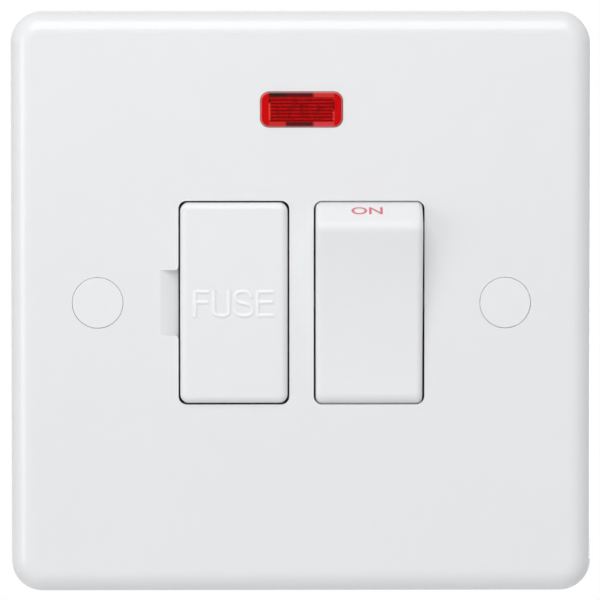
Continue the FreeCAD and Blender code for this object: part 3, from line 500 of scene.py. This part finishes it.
# Fuse tube and plungers: the tube is fired ceramic, left unglazed. The two plungers
# are turned from natural nylon, which slides well on the see-saws.
fuse_ceramic = moulded("fuse_ceramic", (0.80, 0.75, 0.66), (0.72, 0.67, 0.58), 0.55, 0.75,
                       peel_size=3000.0, peel_depth=0.12, flow_size=500.0)
dress("fuse_tube", fuse_ceramic)
plunger_plastic = moulded("plunger_plastic", (0.78, 0.76, 0.68), (0.72, 0.70, 0.62), 0.35, 0.45,
                          peel_size=2000.0, peel_depth=0.05, flow_size=300.0, ior=1.53)
dress("plunger_line", plunger_plastic)
dress("plunger_neutral", plunger_plastic)


# Metalwork: machined brass terminals, rolled brass clips, copper straps and see-saws,
# silver tips and zinc-plated steel. One group gives fine tool lines and dull patches.
def worked_metal_group():
    tree = bpy.data.node_groups.new("worked_metal", "ShaderNodeTree")
    for name, kind, value in (
        ("Colour", "NodeSocketColor", (0.8, 0.6, 0.3, 1)),
        ("Dull Colour", "NodeSocketColor", (0.5, 0.35, 0.2, 1)),
        ("Patch Size", "NodeSocketFloat", 250.0),
        ("Line Size", "NodeSocketFloat", 2600.0),
        ("Line Depth", "NodeSocketFloat", 0.15),
        ("Gloss Low", "NodeSocketFloat", 0.2),
        ("Gloss High", "NodeSocketFloat", 0.4),
    ):
        group_socket(tree, name, kind, "INPUT", value)
    group_socket(tree, "Colour", "NodeSocketColor", "OUTPUT")
    group_socket(tree, "Roughness", "NodeSocketFloat", "OUTPUT")
    group_socket(tree, "Normal", "NodeSocketVector", "OUTPUT")
    n, l = tree.nodes, tree.links
    gin, gout = n.new("NodeGroupInput"), n.new("NodeGroupOutput")
    place = n.new("ShaderNodeTexCoord")
    stretch = n.new("ShaderNodeMapping")
    stretch.inputs["Scale"].default_value = (1.0, 1.0, 0.12)
    patch = n.new("ShaderNodeTexNoise")
    patch.inputs["Detail"].default_value = 4.0
    lines = n.new("ShaderNodeTexNoise")
    lines.inputs["Detail"].default_value = 3.0
    tint = n.new("ShaderNodeMix")
    tint.data_type = "RGBA"
    gloss = n.new("ShaderNodeMapRange")
    bump = n.new("ShaderNodeBump")
    bump.inputs["Distance"].default_value = 0.0001
    l.new(place.outputs["Object"], patch.inputs["Vector"])
    l.new(place.outputs["Object"], stretch.inputs["Vector"])
    l.new(stretch.outputs["Vector"], lines.inputs["Vector"])
    l.new(gin.outputs["Patch Size"], patch.inputs["Scale"])
    l.new(gin.outputs["Line Size"], lines.inputs["Scale"])
    l.new(patch.outputs["Fac"], tint.inputs["Factor"])
    l.new(gin.outputs["Colour"], tint.inputs["A"])
    l.new(gin.outputs["Dull Colour"], tint.inputs["B"])
    l.new(patch.outputs["Fac"], gloss.inputs["Value"])
    l.new(gin.outputs["Gloss Low"], gloss.inputs["To Min"])
    l.new(gin.outputs["Gloss High"], gloss.inputs["To Max"])
    l.new(lines.outputs["Fac"], bump.inputs["Height"])
    l.new(gin.outputs["Line Depth"], bump.inputs["Strength"])
    l.new(tint.outputs["Result"], gout.inputs["Colour"])
    l.new(gloss.outputs["Result"], gout.inputs["Roughness"])
    l.new(bump.outputs["Normal"], gout.inputs["Normal"])
    return tree


worked_metal = worked_metal_group()


def metal(name, colour, dull, low, high, depth=0.15, patch=250.0, line=2600.0):
    mat = bpy.data.materials.new(name)
    mat.use_nodes = True
    n, l = mat.node_tree.nodes, mat.node_tree.links
    shader = n["Principled BSDF"]
    skin = n.new("ShaderNodeGroup")
    skin.node_tree = worked_metal
    skin.inputs["Colour"].default_value = (*colour, 1)
    skin.inputs["Dull Colour"].default_value = (*dull, 1)
    skin.inputs["Patch Size"].default_value = patch
    skin.inputs["Line Size"].default_value = line
    skin.inputs["Line Depth"].default_value = depth
    skin.inputs["Gloss Low"].default_value = low
    skin.inputs["Gloss High"].default_value = high
    l.new(skin.outputs["Colour"], shader.inputs["Base Color"])
    l.new(skin.outputs["Roughness"], shader.inputs["Roughness"])
    l.new(skin.outputs["Normal"], shader.inputs["Normal"])
    shader.inputs["Metallic"].default_value = 1.0
    return mat


brass = metal("brass", (0.80, 0.60, 0.27), (0.62, 0.44, 0.19), 0.22, 0.38)
spring_brass = metal("spring_brass", (0.83, 0.66, 0.34), (0.70, 0.53, 0.26), 0.25, 0.4, 0.1)
contact_copper = metal("contact_copper", (0.83, 0.46, 0.30), (0.62, 0.31, 0.19), 0.25, 0.42, 0.1)
silver = metal("silver", (0.86, 0.86, 0.84), (0.70, 0.70, 0.68), 0.2, 0.35, 0.08)
steel = metal("steel", (0.66, 0.67, 0.68), (0.50, 0.51, 0.53), 0.25, 0.4, 0.12)
for name in ("load_line", "load_neutral", "supply_line", "supply_neutral", "earth"):
    dress("terminal_" + name, brass)
for name in ("fuse_clip_upper", "fuse_clip_lower"):
    dress(name, spring_brass)
for name in ("moving_contact_line", "moving_contact_neutral", "fulcrum_line",
             "fulcrum_neutral", "fixed_contact_neutral", "line_link"):
    dress(name, contact_copper)
for name in ("moving_tip_line", "moving_tip_neutral", "fixed_tips", "fuse_end_caps"):
    dress(name, silver)
for name in ("neon_electrodes", "neon_leads"):
    dress(name, steel)


# Plunger springs: cold-wound steel wire with closed end coils. Each stands between its
# plunger and the end of the rocker's bore; the real spring shortens as the plunger slides in, while this
# coil is wound at one length and rides with the rocker.
def coil_spring(name, slide_name):
    slide = next(j for j in frame["joints"] if j["name"] == slide_name)
    along = Vector(slide["axis"]).normalized()
    right = Vector((1, 0, 0))
    side = along.cross(right)
    points = [nodes[name].matrix_world @ v.co for v in nodes[name].data.vertices]
    spans = []
    for way in (right, side, along):
        reach = [p.dot(way) for p in points]
        spans.append((min(reach), max(reach)))
    low, high = spans[2]
    root = right * sum(spans[0]) / 2 + side * sum(spans[1]) / 2
    wire_r, coil_r = 0.0002, 0.0011
    closed, turns, steps = 0.75, 6.0, 32
    flat_pitch = 2.1 * wire_r
    open_pitch = (high - low - 2 * wire_r - 2 * closed * flat_pitch) / (turns - 2 * closed)
    bm = bmesh.new()
    bmesh.ops.create_circle(bm, cap_ends=True, segments=12, radius=wire_r)
    bmesh.ops.rotate(bm, verts=bm.verts, cent=(0, 0, 0), matrix=Matrix.Rotation(radians(90), 3, "X"))
    bmesh.ops.translate(bm, verts=bm.verts, vec=(coil_r, 0, low + wire_r))
    section = bm.verts[:] + bm.edges[:] + bm.faces[:]
    for count, pitch in ((closed, flat_pitch), (turns - 2 * closed, open_pitch), (closed, flat_pitch)):
        wound = bmesh.ops.spin(bm, geom=section, cent=(0, 0, 0), axis=(0, 0, 1),
                               dvec=(0, 0, pitch / steps), angle=2 * pi * count, steps=int(steps * count))
        section = wound["geom_last"]
    bmesh.ops.recalc_face_normals(bm, faces=bm.faces)
    stand = Matrix.Translation(root) @ Matrix((right, side, along)).transposed().to_4x4()
    bmesh.ops.transform(bm, matrix=stand, verts=bm.verts)
    mesh = bpy.data.meshes.new(name)
    bm.to_mesh(mesh)
    bm.free()
    for polygon in mesh.polygons:
        polygon.use_smooth = True
    coil = fitted(name, mesh, steel, "rocker")
    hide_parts(name)
    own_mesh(coil)


coil_spring("spring_line", "plunger_line_slide")
coil_spring("spring_neutral", "plunger_neutral_slide")


# Screws: zinc-plated steel, headed, slotted and thread-rolled. Six clamp the wires in
# the terminals through holes in the back, and four with cross recesses hold the housing.
def turned_body(head_r, head_high, core_r, long, edge_r):
    bm = bmesh.new()
    outline = [(0, 0), (head_r, 0), (head_r, head_high), (core_r, head_high),
               (core_r, long - 0.6 * core_r), (0.4 * core_r, long), (0, long)]
    verts = [bm.verts.new((r, 0, z)) for r, z in outline]
    edges = [bm.edges.new(pair) for pair in zip(verts, verts[1:])]
    bmesh.ops.spin(bm, geom=verts + edges, cent=(0, 0, 0), axis=(0, 0, 1), angle=2 * pi,
                   steps=48, use_merge=True)
    bmesh.ops.remove_doubles(bm, verts=bm.verts, dist=1e-7)
    bmesh.ops.recalc_face_normals(bm, faces=bm.faces)
    outer = {v for v in bm.verts if abs(v.co.z) < 1e-7 and hypot(v.co.x, v.co.y) > 0.9 * head_r}
    rim = [e for e in bm.edges if outer.issuperset(e.verts)]
    bmesh.ops.bevel(bm, geom=rim, offset=edge_r, affect="EDGES", segments=4, profile=0.5, material=-1)
    mesh = bpy.data.meshes.new("screw_body")
    bm.to_mesh(mesh)
    bm.free()
    return mesh


def recess_cutter(reach, wide, deep, turns):
    bm = bmesh.new()
    for turn in turns:
        bar = bmesh.ops.create_cube(bm, size=1.0)["verts"]
        bmesh.ops.scale(bm, verts=bar, vec=(2 * reach, wide, 2 * deep))
        bmesh.ops.rotate(bm, verts=bar, cent=(0, 0, 0), matrix=Matrix.Rotation(turn, 3, "Z"))
    mesh = bpy.data.meshes.new("recess_cutter")
    bm.to_mesh(mesh)
    bm.free()
    return bpy.data.objects.new("recess_cutter", mesh)


def cut_recess(body, cutter):
    scene.collection.objects.link(cutter)
    shape = bpy.data.objects.new("screw_shape", body)
    cut = shape.modifiers.new("recess", "BOOLEAN")
    cut.operation = "DIFFERENCE"
    cut.solver = "EXACT"
    cut.use_self = True
    cut.object = cutter
    mesh = applied(shape)
    bpy.data.objects.remove(cutter)
    return mesh


def roll_thread(mesh, core_r, crest_r, pitch, start, end):
    bm = bmesh.new()
    bm.from_mesh(mesh)
    root_r, steps = core_r - 0.00004, 24
    turns = int((end - start) / pitch)
    outline = ((root_r, start), (root_r, start + 0.94 * pitch), (crest_r, start + 0.5 * pitch))
    tooth = [bm.verts.new((r, 0, z)) for r, z in outline]
    face = bm.faces.new(tooth)
    bmesh.ops.spin(bm, geom=tooth + face.edges[:] + [face], cent=(0, 0, 0), axis=(0, 0, 1),
                   dvec=(0, 0, pitch / steps), angle=2 * pi * turns, steps=steps * turns)
    bmesh.ops.recalc_face_normals(bm, faces=bm.faces)
    bm.to_mesh(mesh)
    bm.free()
    return mesh


def set_of_screws(name, mesh, places, head_y):
    bm = bmesh.new()
    upright = Matrix.Rotation(radians(90), 4, "X")
    for x, z, turn in places:
        old = set(bm.verts)
        bm.from_mesh(mesh)
        new = [v for v in bm.verts if v not in old]
        place = Matrix.Translation((x, head_y, z)) @ upright @ Matrix.Rotation(radians(turn), 4, "Z")
        bmesh.ops.transform(bm, matrix=place, verts=new)
    whole = bpy.data.meshes.new(name)
    bm.to_mesh(whole)
    bm.free()
    for polygon in whole.polygons:
        polygon.use_smooth = True
    whole.set_sharp_from_angle(angle=radians(32))
    screws = fitted(name, whole, steel, "plate_and_housing")
    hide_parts(name)


screw_low, screw_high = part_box("terminal_screws")
clamp_long = screw_high.y - screw_low.y
clamp_head_r, clamp_core_r = 0.0024, 0.00122
clamp = turned_body(clamp_head_r, 0.0018, clamp_core_r, clamp_long, edge_r=0.0004)
clamp = cut_recess(clamp, recess_cutter(clamp_head_r, wide=0.0008, deep=0.0009, turns=[0.0]))
clamp = roll_thread(clamp, clamp_core_r, 0.0015, pitch=0.0005, start=0.0019, end=clamp_long - 0.0015)
clamp_places = []
for name, offset, turn in (("load_line", 0, 24), ("load_neutral", 0, -63), ("supply_line", 0, 81),
                           ("supply_neutral", 0, -18), ("earth", -0.0041, 47), ("earth", 0.0041, -36)):
    low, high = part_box("terminal_" + name)
    clamp_places.append(((low.x + high.x) / 2 + offset, (low.z + high.z) / 2, turn))
set_of_screws("terminal_screws", clamp, clamp_places, screw_high.y)

screw_low, screw_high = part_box("housing_screws")
holder_long = screw_high.y - screw_low.y
holder_head_r, holder_core_r = 0.0026, 0.00105
holder = turned_body(holder_head_r, 0.002, holder_core_r, holder_long, edge_r=0.0007)
holder = cut_recess(holder, recess_cutter(0.0016, wide=0.0006, deep=0.0012, turns=[0.0, radians(90)]))
holder = roll_thread(holder, holder_core_r, 0.00145, pitch=0.0011, start=0.0022, end=holder_long - 0.0016)
corner_x, corner_z = screw_high.x - holder_head_r, screw_high.z - holder_head_r
holder_places = [(-corner_x, -corner_z, 12), (-corner_x, corner_z, 40),
                 (corner_x, -corner_z, 66), (corner_x, corner_z, 27)]
set_of_screws("housing_screws", holder, holder_places, screw_high.y)
